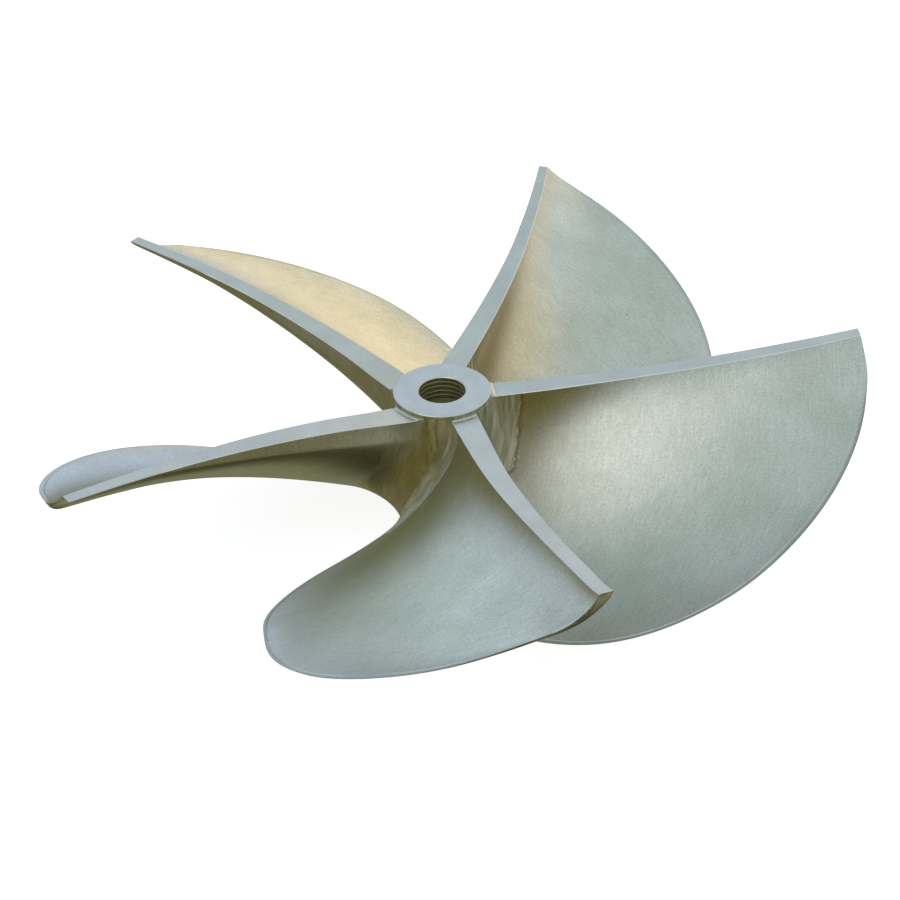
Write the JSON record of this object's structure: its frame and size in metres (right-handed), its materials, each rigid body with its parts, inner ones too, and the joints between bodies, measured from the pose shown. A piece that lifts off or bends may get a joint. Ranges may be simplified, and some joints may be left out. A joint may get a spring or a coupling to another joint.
{
  "type": "ship propeller",
  "caption": "Right-handed surface-piercing boat propeller in bare bronze, with wide cupped wedge blades, thick flat trailing edges and a taper-bored hub.",
  "frame": {"origin": "on the shaft axis, at the propeller's centre of mass", "axes": "+Z along the shaft axis, pointing aft, with the blade trailing edges uppermost; +X along the root of blade_1's trailing edge"},
  "size_m": [0.7822, 0.7714, 0.2297],
  "materials": {
    "turned_bronze": "fine turned nickel-aluminium bronze, satin, with faint lathe rings",
    "ground_bronze": "belt-ground nickel-aluminium bronze, satin, with fine brushed grain and small casting pits"
  },
  "bodies": {
    "root": {"hub": "turned_bronze", "blade_1": "ground_bronze", "blade_2": "ground_bronze", "blade_3": "ground_bronze", "blade_4": "ground_bronze", "blade_5": "ground_bronze"}
  },
  "joints": []
}
